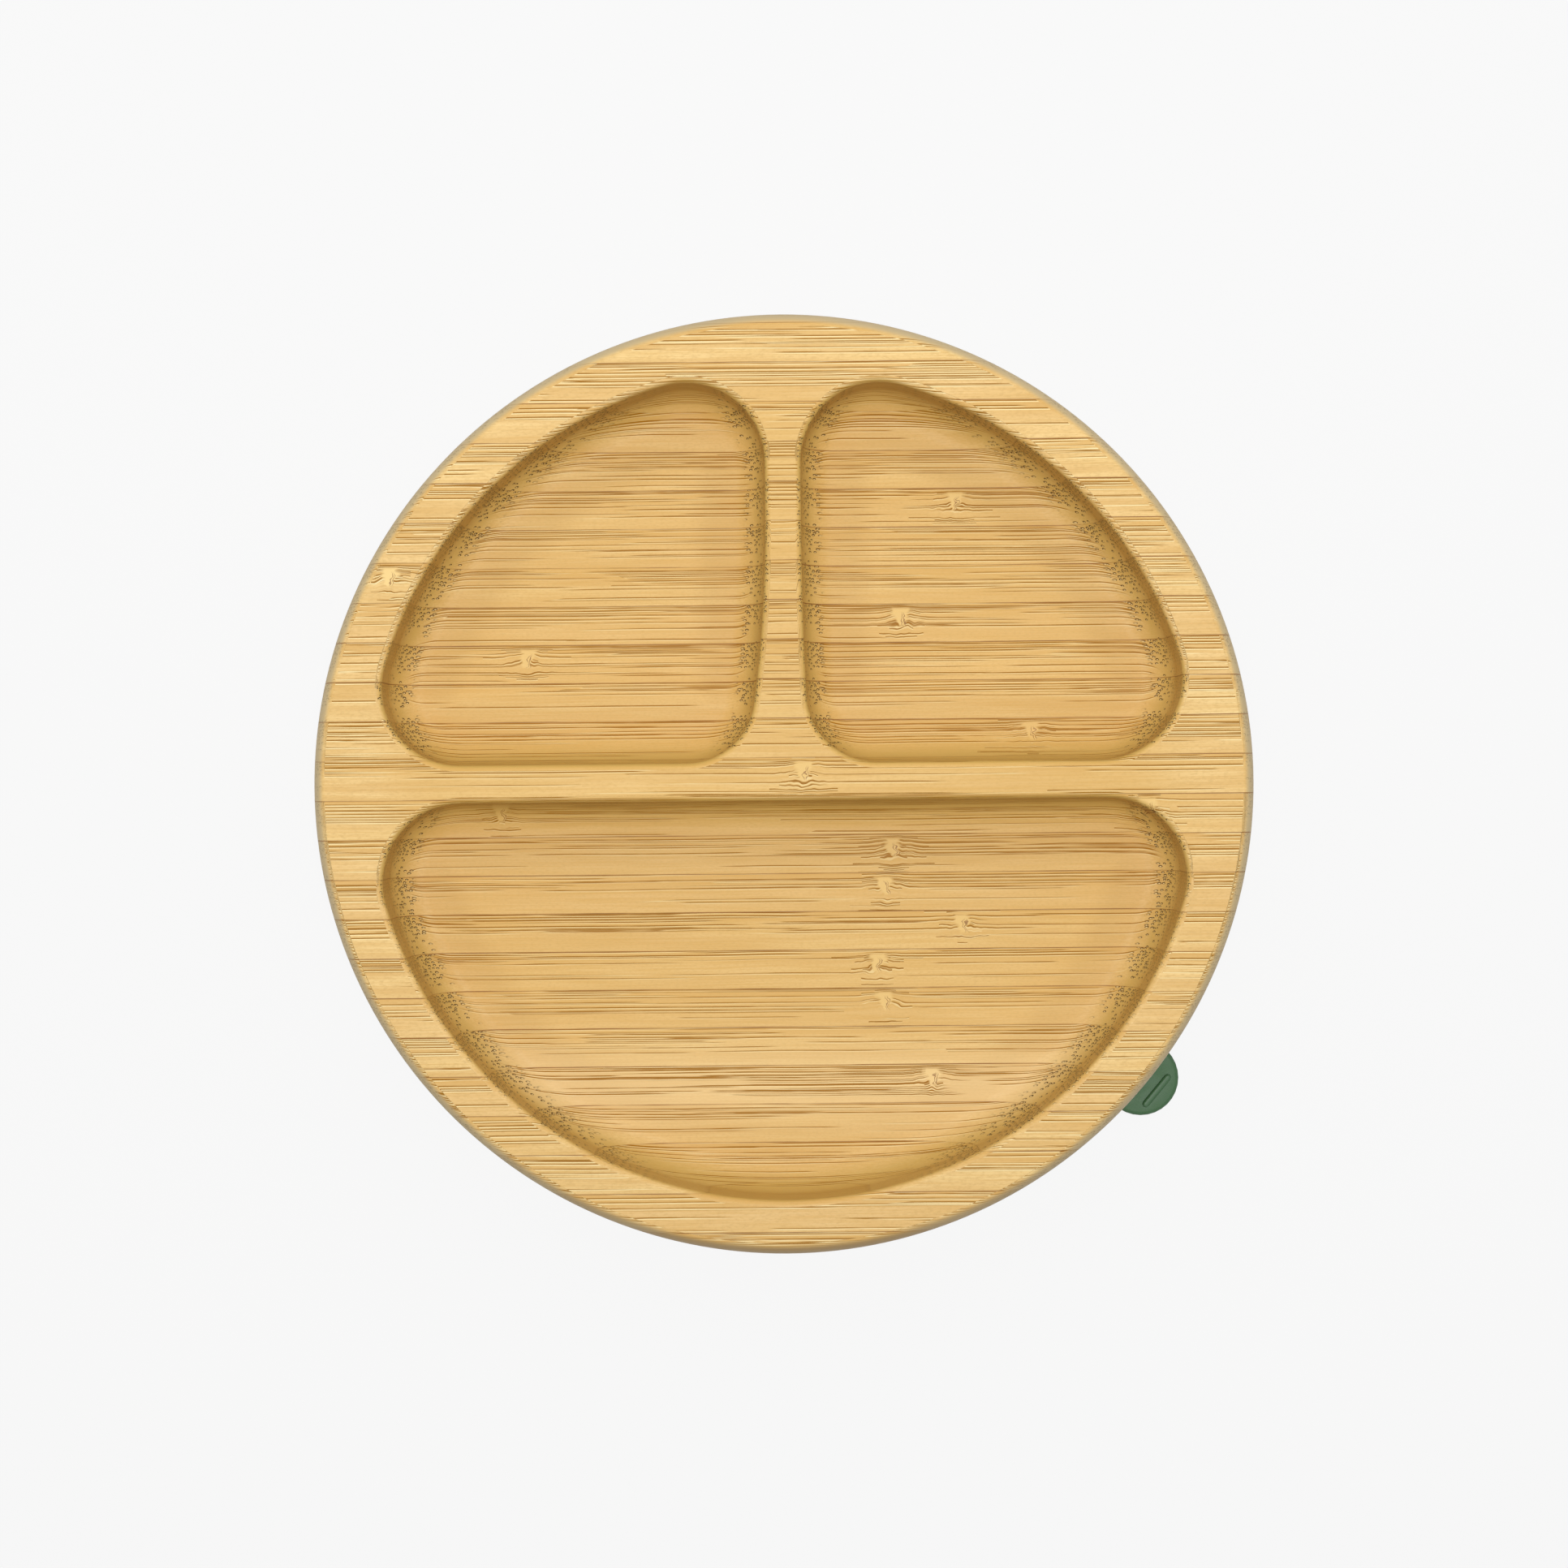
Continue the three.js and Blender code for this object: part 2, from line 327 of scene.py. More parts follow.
# Lengths of the bamboo's patterns along the strip, in millimetres, and their fineness across it
FARTHEST_SHIFT = 500
CELL_RANDOMNESS = 0.8
CALM_DETAIL = 1.0
NOISE_MIDDLE = 0.5
WAVER_LENGTH = 30
WAVER_SIZE = 0.5
FAINT_LENGTH = 9
FAINT_FINENESS = 1.4
CLOUD_LENGTH = 40
CLOUD_FINENESS = 0.45
FIBRE_LENGTH = 14
FIBRE_FINENESS = 5.0
FIBRE_DETAIL = 3.0
SPECKLE_ALONG = 1.2
SPECKLE_FINENESS = 3.5
SEAM_PATCH_LENGTH = 16

# The part of each pattern that shows, and how far it changes the colour
FAINT_BAND = (0.3, 0.6)
CLOUD_BAND = (0.3, 0.7)
FIBRE_BAND = (0.35, 0.7)
FIBRE_SHARE = 0.5
SPECKLE_BAND = (0.4, 0.75)
SPECKLE_SHARE = 0.45
BACK_BAND = (0.45, 1.0)
BACK_SHARE = 0.5

# The glue lines: half their width in millimetres, how they show, and how faint they are along the walls
SEAM_WIDTH = 0.14
SEAM_BAND = (0.35, 0.6)
SEAM_SHARES = (0.25, 0.9)
SEAM_ASLANT = (0.15, 0.5)
SEAM_ASLANT_SHARE = 0.3

# Where the bamboo's tone changes, in millimetres, how far it faces up there, and how strong the change is.
# The changes in and between the compartments are painted shade and painted light.
UNDERSIDE_CLEARANCE = 1.0
LIP_FADE = 0.5
INNER_SHADE_START = 14.0
INNER_SHADE_END = 2.0
INNER_SHADE_SHARE = 0.42
STEEP_BAND = (0.6, 1.0)
STEEP_SHADE_SHARE = 0.75
WALL_REACH = 10.0
WALL_FADE = 5.5
WALL_FOOT_LOW = 0.5
WALL_FOOT_HIGH = 5.0
WALL_SHADE_SHARE = 0.3
FLOOR_LIGHT_Y = -59.0
FLOOR_LIGHT_REACH = 8.0
FLOOR_LIGHT_SHARE = 0.3
EDGE_INNER = 2.8
EDGE_OUTER = 1.6
EDGE_SHARE = 0.9
DOWNWARD_BAND = (-0.35, 0.0)
UNDERNEATH_SHARE = 0.3

# Finish of the bamboo
BAMBOO_RELIEF = 0.08 * MM
BAMBOO_BUMP = 0.6
FIBRE_RELIEF = 0.3
BAMBOO_ROUGHNESS = 0.42
FIBRE_ROUGHNESS = 0.18
BAMBOO_SPECULAR = 0.25

# Finish of the silicone: a cloudy bloom and a fine moulded grain
BLOOM_SCALE = 0.35
BLOOM_DETAIL = 3.0
BLOOM_BAND = (0.35, 0.7)
BLOOM_SHARE = 0.5
GRAIN_SCALE = 9.0
GRAIN_BAND = (0.55, 0.75)
GRAIN_SHARE = 0.25
SILICONE_RELIEF = 0.03 * MM
SILICONE_BUMP = 0.2
SILICONE_ROUGHNESS = 0.5
BLOOM_ROUGHNESS = 0.12


# Meshes

def quarter_turn(steps):
    """Angles from 0 to a right angle, as (cosine, sine)."""
    return [(math.cos(math.pi / 2 * i / steps), math.sin(math.pi / 2 * i / steps)) for i in range(steps + 1)]


def arc(x, y, radius, start, end):
    """Points on an arc, each with the normal that points away from its centre."""
    count = max(ARC_FEWEST, math.ceil(abs(end - start) * radius / ARC_STEP))
    angles = [start + (end - start) * i / count for i in range(count + 1)]
    directions = [Vector((math.cos(angle), math.sin(angle))) for angle in angles]
    return [(Vector((x, y)) + radius * direction, direction) for direction in directions]


def joined(*arcs):
    """One outline from arcs that follow each other, without double points."""
    outline = []
    for point, normal in (place for part in arcs for place in part):
        if not outline or (point - outline[-1][0]).length > SAME_POINT:
            outline.append((point, normal))
    if (outline[0][0] - outline[-1][0]).length < SAME_POINT:
        outline.pop()
    return outline


def corner_reach(standoff, radius):
    """How far along a wall the centre of its outer corner lies."""
    return math.sqrt((pocket_radius - radius) ** 2 - standoff ** 2)


def quarter_outline(side, near_radius, far_radius, lean):
    """Outline of an upper compartment, on the right for side 1 and on the left for -1."""
    wall_x = SHORT_DIVIDER / 2 + side * CROSS_X
    wall_y = LONG_DIVIDER / 2 + CROSS_Y
    top_x = wall_x + POCKET_CORNER
    top_y = corner_reach(top_x, POCKET_CORNER)
    far_y = wall_y + far_radius
    far_x = corner_reach(far_y, far_radius)
    near_y = wall_y + near_radius
    lean_height = LEAN_SHARE * (top_y - near_y)
    bow_offset = lean_height / math.sin(lean)
    bow_radius = near_radius + bow_offset
    near_x = wall_x + bow_radius - bow_offset * math.cos(lean)
    low = math.atan2(far_y, far_x)
    high = math.atan2(top_y, top_x)
    outline = joined(
        arc(wall_x + bow_radius, near_y + lean_height, bow_radius, math.pi, math.pi + lean),
        arc(near_x, near_y, near_radius, math.pi + lean, 1.5 * math.pi),
        arc(far_x, far_y, far_radius, -math.pi / 2, low),
        arc(0, 0, pocket_radius, low, high),
        arc(top_x, top_y, POCKET_CORNER, high, math.pi),
    )
    mirror = Vector((side, 1))
    return [(point * mirror, normal * mirror) for point, normal in outline]


def half_outline():
    """Outline of the lower compartment."""
    near_y = CROSS_Y - LONG_DIVIDER / 2 - POCKET_CORNER
    far_x = corner_reach(near_y, POCKET_CORNER)
    right = math.atan2(near_y, far_x)
    left = -math.pi - right
    return joined(
        arc(far_x, near_y, POCKET_CORNER, math.pi / 2, right),
        arc(0, 0, pocket_radius, right, left),
        arc(-far_x, near_y, POCKET_CORNER, left, -1.5 * math.pi),
    )


def circle_outline():
    """A full turn at radius zero, so that an offset of it is a radius."""
    angles = [2 * math.pi * i / TURN_STEPS for i in range(TURN_STEPS)]
    return [(Vector((0, 0)), Vector((math.cos(angle), math.sin(angle)))) for angle in angles]


class Shell:
    """A mesh under way, whose vertices carry the exact normal of the surface they lie on."""

    def __init__(self):
        self.mesh = bmesh.new()
        self.normal = self.mesh.verts.layers.float_vector.new("surface_normal")

    def ring(self, outline, offset, height, lean, rise):
        """The outline moved out by offset. Its normals lean outward by lean and upward by rise."""
        made = []
        for point, normal in outline:
            place = point + offset * normal
            vertex = self.mesh.verts.new((place.x, place.y, height))
            vertex[self.normal] = Vector((lean * normal.x, lean * normal.y, rise))
            made.append(vertex)
        return made

    def band(self, first, second):
        """Faces between two rings of as many vertices."""
        for i, vertex in enumerate(first):
            self.mesh.faces.new((first[i - 1], vertex, second[i], second[i - 1]))

    def bands(self, outline, profile):
        """Bands between the levels of a profile of (offset, height, lean, rise). Returns the end rings."""
        rings = [self.ring(outline, *level) for level in profile]
        for first, second in zip(rings, rings[1:]):
            self.band(first, second)
        return rings[0], rings[-1]

    def flat(self, *rings):
        """A flat face bounded by the first ring, with the other rings as holes."""
        edges = [self.mesh.edges.get((ring[i - 1], ring[i])) for ring in rings for i in range(len(ring))]
        bmesh.ops.triangle_fill(self.mesh, edges=edges, use_beauty=True, normal=(0, 0, 1))

    def finish(self, name):
        """The mesh, closed, with its faces pointing outward."""
        bmesh.ops.recalc_face_normals(self.mesh, faces=self.mesh.faces)
        made = bpy.data.meshes.new(name)
        self.mesh.to_mesh(made)
        self.mesh.free()
        return made


def plate_profile():
    """Levels of the turned outside of the plate, from the boss's flat bottom to the flat top."""
    boss = [(boss_radius - BOSS_EDGE + BOSS_EDGE * s, boss_bottom + BOSS_EDGE - BOSS_EDGE * c, s, -c)
            for c, s in quarter_turn(EDGE_STEPS)]
    root = [(boss_radius + BOSS_ROOT - BOSS_ROOT * c, plate_underside - BOSS_ROOT + BOSS_ROOT * s, c, -s)
            for c, s in quarter_turn(EDGE_STEPS)]
    lower_radius = plate_radius - BOTTOM_EDGE
    lower_height = plate_underside + BOTTOM_EDGE
    lower = [(lower_radius + BOTTOM_EDGE * s, lower_height - BOTTOM_EDGE * c, s, -c)
             for c, s in quarter_turn(2 * FILLET_STEPS)]
    upper_radius = plate_radius - TOP_REACH
    upper_height = plate_top - TOP_DROP
    upper = [(upper_radius + TOP_REACH * c, upper_height + TOP_DROP * s, c / TOP_REACH, s / TOP_DROP)
             for c, s in quarter_turn(2 * FILLET_STEPS)]
    return boss + root + lower + upper


def pocket_profile():
    """Levels of a compartment's wall, from its eased lip to the flat floor."""
    lip = [(LIP_ROUND - LIP_ROUND * s, plate_top - LIP_ROUND + LIP_ROUND * c, -s, c)
           for c, s in quarter_turn(EDGE_STEPS)]
    fillet = [(FLOOR_FILLET * c - FLOOR_FILLET, pocket_floor + FLOOR_FILLET - FLOOR_FILLET * s, -c, s)
              for c, s in quarter_turn(FILLET_STEPS)]
    return lip + fillet


def plate_shell():
    """The whole plate's surface, before it is divided into strips."""
    shell = Shell()
    boss_ring, top_ring = shell.bands(circle_outline(), plate_profile())
    shell.mesh.faces.new(boss_ring)
    lips = []
    for outline in (quarter_outline(**UPPER_LEFT), quarter_outline(**UPPER_RIGHT), half_outline()):
        lip_ring, floor_ring = shell.bands(outline, pocket_profile())
        shell.mesh.faces.new(floor_ring)
        lips.append(lip_ring)
    shell.flat(top_ring, *lips)
    return shell.finish("plate")


def give_surface_normals(mesh, cuts):
    """Shades a strip with the normals that its vertices carry, but its cut faces as flat."""
    carried = mesh.attributes["surface_normal"].data
    normals = []
    for polygon in mesh.polygons:
        polygon.use_smooth = True
        distance = min(abs(polygon.center.y - y) for y in cuts)
        is_cut = abs(polygon.normal.y) > FACING_CUT and distance < SAME_PLANE
        for index in polygon.vertices:
            normal = polygon.normal if is_cut else Vector(carried[index].vector).normalized()
            normals.append(normal)
    mesh.normals_split_custom_set(normals)


def cut_strip(plate, low, high):
    """The part of the plate between two glue lines, as a closed mesh."""
    strip = bmesh.new()
    strip.from_mesh(plate)
    for y, side in ((low, -1), (high, 1)):
        geometry = strip.verts[:] + strip.edges[:] + strip.faces[:]
        plane = {"plane_co": (0, y, 0), "plane_no": (0, side, 0)}
        cut = bmesh.ops.bisect_plane(strip, geom=geometry, dist=CUT_TOLERANCE, clear_outer=True, **plane)
        edges = [item for item in cut["geom_cut"] if isinstance(item, bmesh.types.BMEdge)]
        bmesh.ops.holes_fill(strip, edges=edges, sides=0)
    bmesh.ops.recalc_face_normals(strip, faces=strip.faces)
    mesh = bpy.data.meshes.new("strip")
    strip.to_mesh(mesh)
    strip.free()
    give_surface_normals(mesh, (low, high))
    return mesh


def add_object(name, mesh, material):
    piece = bpy.data.objects.new(name, mesh)
    piece.data.materials.append(material)
    bpy.context.scene.collection.objects.link(piece)
    return piece


# Materials

class Field:
    """Something that varies over a surface. A number of this kind is reckoned with like a plain number."""

    def __init__(self, graph, socket):
        self.graph = graph
        self.socket = socket

    def __add__(self, other):
        return self.graph.math("ADD", self, other)

    def __sub__(self, other):
        return self.graph.math("SUBTRACT", self, other)

    def __rsub__(self, other):
        return self.graph.math("SUBTRACT", other, self)

    def __mul__(self, other):
        return self.graph.math("MULTIPLY", self, other)

    def __truediv__(self, other):
        return self.graph.math("DIVIDE", self, other)

    def __abs__(self):
        return self.graph.math("ABSOLUTE", self)

    __radd__ = __add__
    __rmul__ = __mul__


class Graph:
    """Short ways to build the shader nodes of a new material or world."""

    def __init__(self, owner):
        self.owner = owner
        self.owner.use_nodes = True
        self.tree = self.owner.node_tree
        self.tree.nodes.clear()

    def add(self, kind, inputs=(), **settings):
        """The outputs of a new node. Its inputs go by name or number, each a plain value or a Field."""
        node = self.tree.nodes.new("ShaderNode" + kind)
        for setting, value in settings.items():
            setattr(node, setting, value)
        for key, value in dict(inputs).items():
            if isinstance(value, Field):
                self.tree.links.new(value.socket, node.inputs[key])
            else:
                node.inputs[key].default_value = value
        outputs = {}
        for number, socket in enumerate(node.outputs):
            outputs[number] = Field(self, socket)
            outputs[socket.name] = outputs[number]
        return outputs

    def math(self, operation, *values, clamp=False):
        return self.add("Math", enumerate(values), operation=operation, use_clamp=clamp)[0]

    def limit(self, value):
        """The value, kept from 0 to 1."""
        return self.math("ADD", value, 0.0, clamp=True)

    def larger(self, first, second):
        return self.math("MAXIMUM", first, second)

    def ramp(self, value, low, high, to_low=0.0, to_high=1.0):
        """A smooth step from to_low, where the value is low, to to_high, where it is high."""
        inputs = {0: value, 1: low, 2: high, 3: to_low, 4: to_high}
        return self.add("MapRange", inputs, interpolation_type="SMOOTHSTEP")[0]

    def fall(self, value, low, high):
        """A smooth step down, from 1, where the value is low, to 0, where it is high."""
        return self.ramp(value, low, high, 1.0, 0.0)

    def line(self, distance, width):
        """1 near distance 0, and 0 from one width on."""
        return self.fall(abs(distance), LINE_CORE * width, width)

    def bell(self, distance, width):
        """1 at distance 0, falling smoothly to nothing at about two widths."""
        share = distance / width
        return self.math("EXPONENT", share * share * -1.0)

    def mix(self, share, first, second):
        """A colour between two others. The numbers are those of the node's colour sockets."""
        return self.add("Mix", {0: share, 6: first, 7: second}, data_type="RGBA")[2]

    def vector(self, x, y, z=0.0):
        return self.add("CombineXYZ", {0: x, 1: y, 2: z})[0]

    def noise(self, vector, scale=1.0, detail=2.0):
        return self.add("TexNoise", {"Vector": vector, "Scale": scale, "Detail": detail})[0]

    def unrest(self, x, y):
        """A calm noise in a plane, about zero."""
        return self.noise(self.vector(x, y), detail=CALM_DETAIL) - NOISE_MIDDLE

    def cells(self, x, y):
        """Irregular cells in a plane: both coordinates of a cell's middle, and two numbers drawn for it."""
        inputs = {"Vector": self.vector(x, y), "Scale": 1.0, "Randomness": CELL_RANDOMNESS}
        found = self.add("TexVoronoi", inputs, voronoi_dimensions="2D")
        middle = self.add("SeparateXYZ", {0: found["Position"]})
        chance = self.add("SeparateColor", {0: found["Color"]})
        return middle[0], middle[1], chance[0], chance[1]

    def place(self):
        """The coordinates of the surface in the part's frame, in millimetres."""
        coordinates = self.add("TexCoord")["Object"]
        scaled = self.add("VectorMath", {0: coordinates, 3: 1 / MM}, operation="SCALE")[0]
        parts = self.add("SeparateXYZ", {0: scaled})
        return parts[0], parts[1], parts[2]

    def facing(self):
        """How far the surface faces along X, either way, how far it faces back, and how far up."""
        parts = self.add("SeparateXYZ", {0: self.add("TexCoord")["Normal"]})
        return abs(parts[0]), parts[1], parts[2]

    def surface(self, shader, output="OutputMaterial"):
        self.add(output, {"Surface": shader})
        return self.owner


def bundles_lengthways(graph, along, line_y, spacing, reach, share_at):
    """Fibre bundles cut lengthways: the dark lines on both sides of each, and the pale line between them,
    which is partly a painted highlight.
    """
    middle_x, middle_y, chance, other_chance = graph.cells(along / reach, line_y / spacing)
    aside = line_y - middle_y * spacing
    half_length = (other_chance * HALF_LENGTH_SPREAD + SHORTEST_HALF) * reach
    end = graph.fall(abs(along - middle_x * reach) / half_length, *LINE_END)
    shown = graph.math("LESS_THAN", chance, share_at(middle_y * spacing)) * end
    front_share = graph.ramp(other_chance, *FRONT_LINE_CHANCE, 0.0, FRONT_LINE_SHARE)
    back = graph.line(aside - BACK_LINE, LINE_WIDTH)
    front = graph.line(aside - FRONT_LINE, LINE_WIDTH) * front_share
    pale = graph.line(aside - PALE_LINE, LINE_WIDTH)
    return graph.larger(back, front) * shown, pale * shown


def bundles_endways(graph, fibre_y, fibre_z, spacing, share_at):
    """Fibre bundles cut across: dark dots, each with a pale eye towards the front, which is partly a painted
    highlight.
    """
    middle_y, middle_z, chance, other_chance = graph.cells(fibre_y / spacing, fibre_z / spacing)
    radius = (other_chance * DOT_SPREAD + DOT_LEAST) * spacing
    aside = (fibre_y - middle_y * spacing) / radius
    up = (fibre_z - middle_z * spacing) / radius
    forward = aside + EYE_FORWARD
    dot = graph.fall(graph.math("SQRT", aside * aside + up * up), *DOT_EDGE)
    eye = graph.fall(graph.math("SQRT", forward * forward + up * up), *EYE_EDGE)
    shown = graph.math("LESS_THAN", chance, share_at(middle_y * spacing))
    return dot * (1.0 - eye) * shown, eye * shown


def knot_effects(graph, x, y, across, knots):
    """At a strip's knots: the grain's swerve in millimetres, the bare heart, what is near it, and marks."""
    swerve = heart = near = marks = 0.0
    if not knots:
        return swerve, heart, near, marks
    window = graph.math("SINE", across * math.pi)
    jitter = graph.unrest(x / RAGGED_ALONG, y / RAGGED_ACROSS)
    ripple = graph.unrest(x / RIPPLE_ALONG, y / RIPPLE_ACROSS)
    side = graph.ramp(across, *SWERVE_TURN, SWERVE_IN_FRONT, 1.0)
    taper = graph.ramp(across, *HEART_TAPER, HEART_NARROWEST, 1.0)
    middle = graph.fall(abs(across - HEART_MIDDLE), *HEART_ENDS)
    mark_length = graph.line(across - MARK_MIDDLE, MARK_HALF_LENGTH)
    for place, turn in knots:
        away = x - place
        around = graph.bell(away, KNOT_REACH)
        ragged = away + jitter * RAGGEDNESS + (across - MARK_MIDDLE) * turn
        swerve = swerve + around * ripple * RIPPLE_HEIGHT - graph.bell(away, SWERVE_REACH) * abs(turn) * side
        heart = heart + graph.fall(abs(ragged) / taper, *HEART_EDGE) * middle
        near = near + around
        marks = marks + graph.line(abs(ragged - MARK_SHIFT) - MARK_APART, MARK_WIDTH) * mark_length
    return swerve * window, graph.limit(heart), graph.limit(near), graph.limit(marks)


class StripSpot:
    """A place on a strip: where it lies, in millimetres, how it faces, and what the knots do there."""

    def __init__(self, graph, number, back, shift):
        self.graph = graph
        self.shift = shift
        self.width = strip_width / MM
        self.front = back / MM - self.width
        self.x, self.y, self.z = graph.place()
        self.end_on, self.backward, self.upward = graph.facing()
        self.radius = graph.math("SQRT", self.x * self.x + self.y * self.y)
        self.across = (self.y - self.front) / self.width
        self.along = self.x + shift
        knots = [(place, turn) for strip, place, turn in KNOTS if strip == number]
        effects = knot_effects(graph, self.x, self.y, self.across, knots)
        swerve, self.heart, self.near_knot, self.marks = effects
        waver = graph.unrest(self.along / WAVER_LENGTH, shift) * WAVER_SIZE
        self.fibre_y = self.y + swerve + waver
        self.fibre_z = self.z + shift
        self.above = graph.ramp(
            self.z, plate_underside / MM + UNDERSIDE_CLEARANCE, pocket_floor / MM - UNDERSIDE_CLEARANCE)
        wall = pocket_radius / MM
        self.inside = graph.fall(self.radius, wall, wall + LIP_FADE) * self.above
        self.outside = self.outer_edge()

    def outer_edge(self):
        """1 on the rounded outer edge, fading to less on the underside."""
        edge = plate_radius / MM
        upper = self.graph.ramp(self.radius, edge - EDGE_INNER, edge - EDGE_OUTER)
        turned_down = self.graph.fall(self.upward, *DOWNWARD_BAND)
        lower = self.graph.ramp(self.radius, edge - BOTTOM_EDGE / MM, edge, UNDERNEATH_SHARE, 1.0)
        return self.graph.larger(upper, turned_down * lower)

    def density(self, at_front, at_back):
        """The share of bundles that are there, as a function of the place across the strip."""
        def share_at(y):
            across = (y - self.front) / self.width
            return self.graph.ramp(across, *DENSITY_RISE, at_front, at_back) + self.near_knot * MORE_AT_KNOTS
        return share_at


def lines_along(graph, spot, draw):
    """Dark and pale lines on faces cut along the fibres, up the walls as well as across the floors."""
    climb = (spot.z - pocket_floor / MM) * CLIMB
    line_y = spot.fibre_y - graph.ramp(spot.backward, *EITHER_SIDE, -1.0, 1.0) * climb
    level = graph.ramp(spot.upward, *LINES_UPWARD, STEEP_LINE_SHARE, 1.0)
    lengthways = graph.fall(spot.end_on, *LINES_END_ON) * level
    coarse_share = spot.density(COARSE_FRONT, draw.uniform(*COARSE_BACK))
    fine_share = spot.density(FINE_FRONT, draw.uniform(*FINE_BACK))
    coarse, coarse_pale = bundles_lengthways(
        graph, spot.along, line_y, COARSE_SPACING, COARSE_REACH, coarse_share)
    fine, fine_pale = bundles_lengthways(
        graph, spot.along + FINE_SHIFT, line_y, FINE_SPACING, FINE_REACH, fine_share)
    patches = graph.noise(graph.vector(spot.along / FAINT_LENGTH, spot.y * FAINT_FINENESS))
    faint = graph.ramp(patches, *FAINT_BAND, FAINT_SHARE, 1.0)
    fibrous = (1.0 - spot.heart) * (1.0 - spot.outside * EDGE_WITHOUT_LINES)
    kept = graph.larger(faint, spot.near_knot) * fibrous * lengthways
    strength = graph.larger(spot.near_knot, draw.uniform(*LINE_STRENGTH))
    dark = graph.larger(coarse, fine * FINE_LINE_SHARE) * kept * strength
    return dark, graph.larger(coarse_pale, fine_pale) * kept


def dots_across(graph, spot):
    """Dark dots and their pale eyes on faces cut across the fibres."""
    aslant = graph.ramp(spot.end_on, *STRAIGHT_END, 1.0, STRAIGHT_DOT_SHARE)
    inner_share = spot.inside * (1.0 - OUTER_DOT_SHARE) + OUTER_DOT_SHARE
    endways = graph.ramp(spot.end_on, *DOTS_END_ON) * aslant * inner_share
    dots, eyes = bundles_endways(
        graph, spot.fibre_y, spot.fibre_z, END_SPACING, spot.density(END_FRONT, END_BACK))
    return dots * endways, eyes * endways


def strip_ground(graph, spot, own, fibres):
    """The strip's own tone, with broad clouds, fine fibres, speckles, a darker back and bare knots."""
    clouds = graph.noise(
        graph.vector(spot.along / CLOUD_LENGTH, spot.fibre_y * CLOUD_FINENESS, spot.z * CLOUD_FINENESS))
    speckle = graph.noise(
        graph.vector(spot.along * SPECKLE_ALONG, spot.y * SPECKLE_FINENESS, spot.z * SPECKLE_FINENESS))
    ground = graph.mix(graph.ramp(clouds, *CLOUD_BAND), own, CLOUD)
    ground = graph.mix(graph.ramp(fibres, *FIBRE_BAND, 0.0, FIBRE_SHARE), ground, FIBRE)
    ground = graph.mix(graph.ramp(speckle, *SPECKLE_BAND, 0.0, SPECKLE_SHARE), ground, SPECKLE)
    ground = graph.mix(graph.ramp(spot.across, *BACK_BAND, 0.0, BACK_SHARE), ground, BACK_EDGE)
    return graph.mix(spot.heart * HEART_SHARE, ground, KNOT_HEART)


def wall_shade_mask(graph, spot):
    """Where painted shade falls on the floors: 1 close to a wall, fading to 0 some way in from it."""
    far = WALL_REACH + WALL_FADE
    rim = pocket_radius / MM
    rim_wall = graph.ramp(spot.radius, rim - far, rim - WALL_REACH)
    short_wall = SHORT_DIVIDER / 2 / MM
    beside_short = graph.fall(abs(spot.x - CROSS_X / MM), short_wall + WALL_REACH, short_wall + far)
    long_wall = LONG_DIVIDER / 2 / MM
    beside_long = graph.fall(abs(spot.y - CROSS_Y / MM), long_wall + WALL_REACH, long_wall + far)
    upper_half = graph.math("GREATER_THAN", spot.y, CROSS_Y / MM)
    return graph.larger(rim_wall, graph.larger(beside_long, beside_short * upper_half))


def painted_shade_and_light(graph, spot, ground):
    """Painted shade darkens the colour between the compartments and in them, most of all at their walls;
    painted light makes a stretch of floor paler.
    """
    rim = pocket_radius / MM
    floor = pocket_floor / MM
    # Painted shade, darker towards the middle: on the floors and between the compartments
    inner_shade = graph.ramp(spot.radius, rim - INNER_SHADE_START, rim + INNER_SHADE_END, INNER_SHADE_SHARE, 0.0) * spot.above
    ground = graph.mix(inner_shade, ground, INNER_SHADE)
    # Painted shade on the steep walls and fillets inside the compartments
    steep_shade = graph.ramp(spot.upward, *STEEP_BAND, STEEP_SHADE_SHARE, 0.0)
    ground = graph.mix(spot.inside * steep_shade, ground, STEEP_SHADE)
    low = graph.fall(spot.z, floor + WALL_FOOT_LOW, floor + WALL_FOOT_HIGH)
    # Painted shade on the floors near the walls, where less light reaches
    ground = graph.mix(wall_shade_mask(graph, spot) * spot.inside * low * WALL_SHADE_SHARE, ground, NEAR_WALL_SHADE)

    # Painted light: a stretch of the lower compartment's floor, near its front wall, is made paler.
    floor_light = graph.bell(spot.y - FLOOR_LIGHT_Y, FLOOR_LIGHT_REACH)
    return graph.mix(floor_light * spot.inside * low * FLOOR_LIGHT_SHARE, ground, PAINTED_FLOOR_LIGHT)


def glue_line(graph, spot, joints):
    """The glue where a strip meets another, clearer in some places than in others, and faint on walls."""
    patches = graph.noise(graph.vector(spot.along / SEAM_PATCH_LENGTH, spot.shift))
    shown = graph.ramp(patches, *SEAM_BAND, *SEAM_SHARES)
    aslant = graph.ramp(abs(spot.backward), *SEAM_ASLANT, 1.0, SEAM_ASLANT_SHARE)
    seam = 0.0
    for joint in joints:
        seam = graph.larger(seam, graph.line(spot.y - joint / MM, SEAM_WIDTH) * shown * aslant)
    return seam


